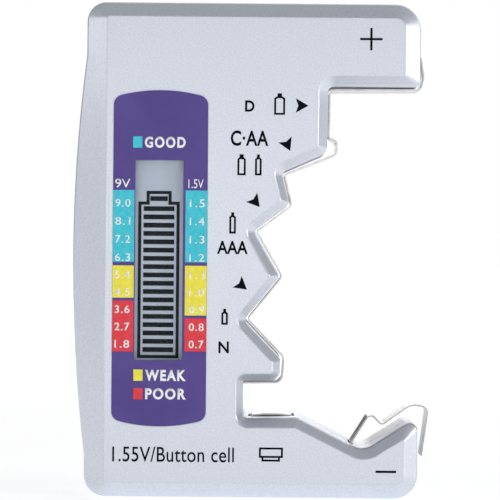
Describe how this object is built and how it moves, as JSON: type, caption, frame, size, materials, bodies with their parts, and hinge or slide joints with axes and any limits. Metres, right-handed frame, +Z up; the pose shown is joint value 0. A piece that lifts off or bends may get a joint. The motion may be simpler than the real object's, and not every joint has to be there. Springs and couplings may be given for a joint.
{
  "type": "battery tester",
  "caption": "Palm-sized tester for round, rectangular and button cells: stepped right side with strip and spring contacts, colour-scaled display window in a bevelled two-shell case.",
  "frame": {"origin": "middle of the bounding box at the bottom edge; the tester stands upright on it", "axes": "+Z up along the case, +X towards the stepped side with the contacts, -Y out of the display face"},
  "size_m": [0.0688, 0.022, 0.095],
  "materials": {
    "silver_paint": "satin silver paint on moulded plastic, fine metallic grain",
    "back_sticker": "plain matt paper sticker",
    "label_film": "printed purple film, satin",
    "clear_window": "clear polished plastic",
    "display_glass": "display glass",
    "reflector_film": "matt reflective film",
    "elastomer": "layered conductive elastomer",
    "white_plastic": "plain moulded plastic",
    "board_laminate": "green solder mask on glass-fibre laminate",
    "black_epoxy": "glossy black epoxy",
    "ferrite": "dark ferrite with a sleeve",
    "capacitor_sleeve": "shrunk blue sleeve on an aluminium can",
    "resistor_body": "lacquered ceramic",
    "chip_ceramic": "ceramic chips",
    "trimmer_plastic": "moulded plastic",
    "solder": "bright solder",
    "nickel_plate": "nickel-plated steel",
    "spring_steel": "nickel-plated spring steel",
    "red_wire": "red wire sleeve",
    "black_wire": "black wire sleeve",
    "yellow_wire": "yellow wire sleeve",
    "screw_steel": "zinc-plated steel"
  },
  "bodies": {
    "case": {"front_shell": "silver_paint", "back_shell": "silver_paint", "back_sticker": "back_sticker", "face_label": "label_film", "display_window": "clear_window", "display_front_glass": "display_glass", "display_rear_glass": "display_glass", "display_reflector": "reflector_film", "elastomer_connectors": "elastomer", "display_holder": "white_plastic", "circuit_board": "board_laminate", "controller_blob": "black_epoxy", "boost_inductor": "ferrite", "electrolytic_capacitor": "capacitor_sleeve", "load_resistors": "resistor_body", "chip_components": "chip_ceramic", "calibration_trimmer": "trimmer_plastic", "solder_joints": "solder", "positive_contact_strip": "nickel_plate", "negative_spring_anchor": "spring_steel", "button_contact_anchor": "spring_steel", "nine_volt_positive_contact": "nickel_plate", "nine_volt_negative_contact": "nickel_plate", "positive_wire": "red_wire", "negative_wire": "black_wire", "button_cell_wire": "yellow_wire", "nine_volt_positive_wire": "red_wire", "nine_volt_negative_wire": "black_wire", "case_screws": "screw_steel", "board_screws": "screw_steel"},
    "negative_spring": {"negative_spring_leaf": "spring_steel"},
    "button_contact": {"button_contact_leaf": "spring_steel"}
  },
  "joints": [
    {"name": "negative_spring_flex", "type": "hinge", "parent": "case", "child": "negative_spring", "pos_m": [0.01869, 0, 0.00902], "axis": [0, 1, 0], "range_deg": [0, 5], "stiffness_Nm_per_rad": 0.05},
    {"name": "button_contact_flex", "type": "hinge", "parent": "case", "child": "button_contact", "pos_m": [-0.0001, 0, 0.014], "axis": [0, 1, 0], "range_deg": [0, 5], "stiffness_Nm_per_rad": 0.01}
  ]
}
